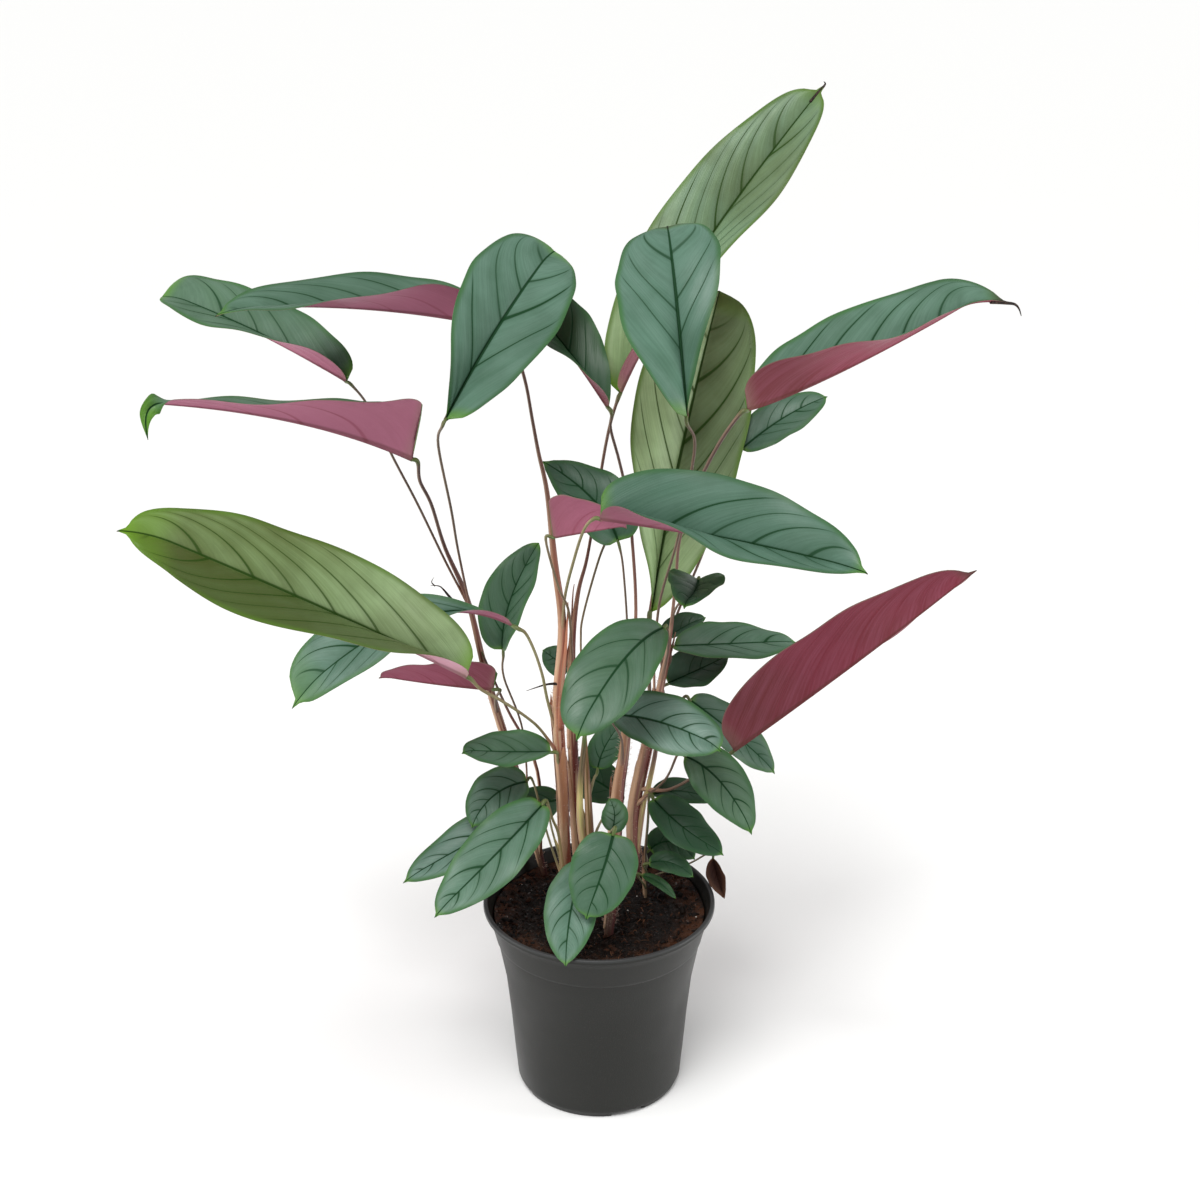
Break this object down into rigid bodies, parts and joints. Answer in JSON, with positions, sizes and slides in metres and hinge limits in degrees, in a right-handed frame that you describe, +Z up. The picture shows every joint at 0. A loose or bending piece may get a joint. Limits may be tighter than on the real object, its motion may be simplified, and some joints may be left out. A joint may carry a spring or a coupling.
{
  "type": "potted ctenanthe",
  "caption": "Potted prayer plant: slender shoots with long folded leaves, green above and purple below, rising from potting mix in a flared nursery pot with a rolled rim.",
  "frame": {"origin": "centre of the pot's foot, on the plane that it stands on", "axes": "+Z up, -Y towards the viewer that the plant faces, +X to that viewer's right"},
  "size_m": [0.5964, 0.3141, 0.7121],
  "materials": {
    "pot_plastic": "moulded dark grey plastic, satin, with a faint lighter bloom at the lip",
    "potting_mix": "moist dark peat with brown fibres and small pale grains",
    "stem": "smooth salmon to brown-red stalks with fine pale hairs",
    "leaf_green": "grey-green leaf with dark veins above, burgundy below, soft sheen",
    "leaf_olive": "yellow-green leaf with dark veins above, pink-purple below, soft sheen",
    "leaf_dry": "dead leaf, red-brown and papery"
  },
  "bodies": {
    "root": {"pot": "pot_plastic", "soil": "potting_mix", "shoot_left": "stem", "shoot_main": "stem", "shoot_tall": "stem", "shoot_olive": "stem", "shoot_front": "stem", "shoot_right": "stem", "shoot_low_right": "stem", "shoot_low_front": "stem", "shoot_low_left": "stem", "leaf_left_1": "leaf_green", "leaf_left_2": "leaf_green", "leaf_left_3": "leaf_green", "leaf_left_4": "leaf_green", "leaf_left_5": "leaf_green", "leaf_main_1": "leaf_green", "leaf_main_2": "leaf_green", "leaf_main_3": "leaf_olive", "leaf_main_4": "leaf_green", "leaf_main_5": "leaf_green", "leaf_tall_1": "leaf_olive", "leaf_tall_2": "leaf_green", "leaf_tall_3": "leaf_green", "leaf_tall_4": "leaf_green", "leaf_olive_1": "leaf_green", "leaf_olive_2": "leaf_green", "leaf_front_1": "leaf_green", "leaf_front_2": "leaf_green", "leaf_front_3": "leaf_green", "leaf_right_1": "leaf_green", "leaf_right_2": "leaf_green", "leaf_right_3": "leaf_olive", "leaf_right_4": "leaf_green", "leaf_right_5": "leaf_green", "leaf_right_6": "leaf_green", "leaf_right_7": "leaf_green", "leaf_right_8": "leaf_green", "leaf_right_9": "leaf_green", "leaf_right_10": "leaf_green", "leaf_right_11": "leaf_green", "leaf_right_12": "leaf_green", "leaf_right_13": "leaf_green", "leaf_low_right_1": "leaf_green", "leaf_low_right_2": "leaf_green", "leaf_low_right_3": "leaf_green", "leaf_low_right_4": "leaf_green", "leaf_low_right_5": "leaf_dry", "leaf_low_front_1": "leaf_green", "leaf_low_front_2": "leaf_green", "leaf_low_front_3": "leaf_green", "leaf_low_left_1": "leaf_green", "leaf_low_left_2": "leaf_green", "leaf_low_left_3": "leaf_green"}
  },
  "joints": []
}
